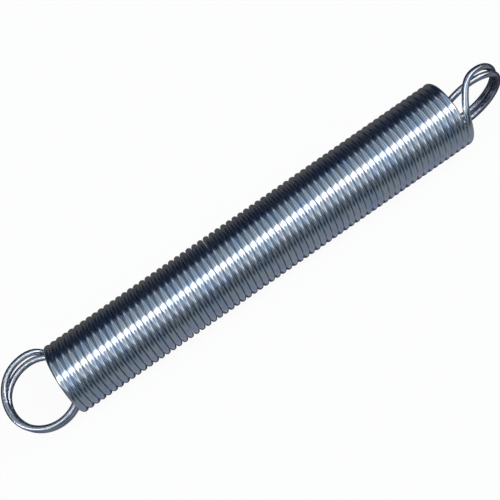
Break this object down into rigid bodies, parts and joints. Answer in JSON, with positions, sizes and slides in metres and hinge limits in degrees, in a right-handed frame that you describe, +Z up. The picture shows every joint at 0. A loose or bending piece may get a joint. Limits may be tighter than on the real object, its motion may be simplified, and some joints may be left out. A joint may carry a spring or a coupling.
{
  "type": "extension spring",
  "caption": "Close-wound steel extension spring: a long tight coil of round wire with a doubled full hook loop at each end, the loops nearly square to each other.",
  "frame": {"origin": "middle of loop A's eye, on the coil's axis", "axes": "+X along the coil's axis from loop A to loop B; +Z up as the spring lies at rest on a bench, in the plane of loop B; loop A lies within 6 degrees of flat"},
  "size_m": [0.1963, 0.0281, 0.0285],
  "materials": {
    "zinc_plated_steel": "bright zinc plate over drawn steel wire"
  },
  "bodies": {
    "root": {"spring_wire": "zinc_plated_steel"}
  },
  "joints": []
}
